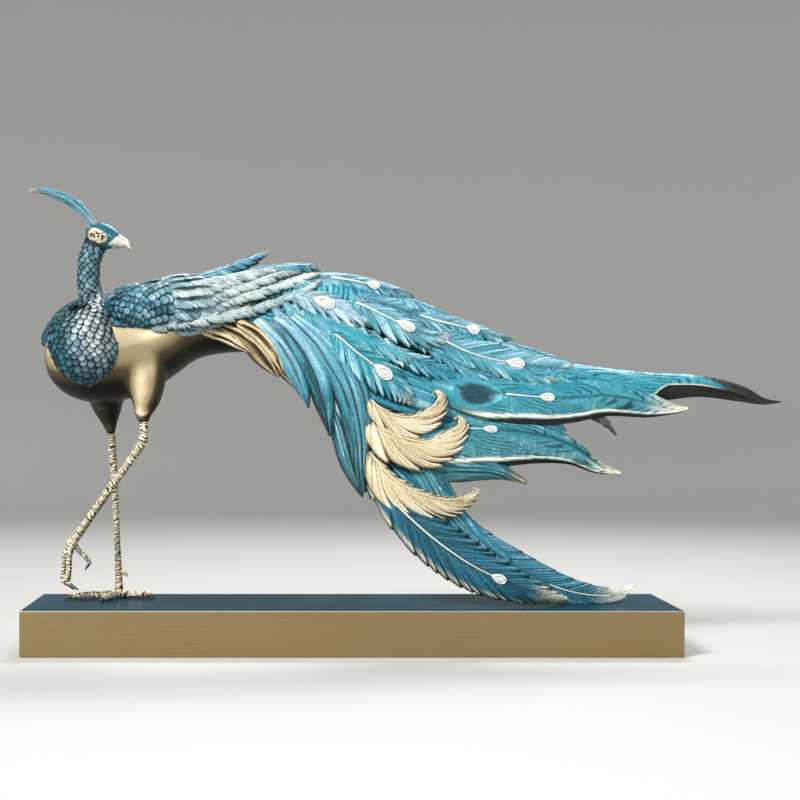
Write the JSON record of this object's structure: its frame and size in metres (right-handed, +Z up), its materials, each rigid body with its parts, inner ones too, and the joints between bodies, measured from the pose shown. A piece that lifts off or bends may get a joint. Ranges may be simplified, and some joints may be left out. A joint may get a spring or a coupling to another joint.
{
  "type": "peacock statue",
  "caption": "Cast metal peacock with a crest and a long layered train in blue patina and gilt, walking on a low rectangular plinth",
  "frame": {"origin": "centre of the plinth's underside", "axes": "+X runs along the plinth towards the tips of the train, +Y away from the side shown, +Z up"},
  "size_m": [0.6456, 0.15, 0.3904],
  "materials": {
    "plinth_metal": "brushed brass sides with a glossy dark blue top",
    "cast_patina": "turquoise and deep blue patina over cast metal, with gilt plumes, legs and belly"
  },
  "bodies": {
    "root": {"plinth": "plinth_metal", "peacock": "cast_patina"}
  },
  "joints": []
}
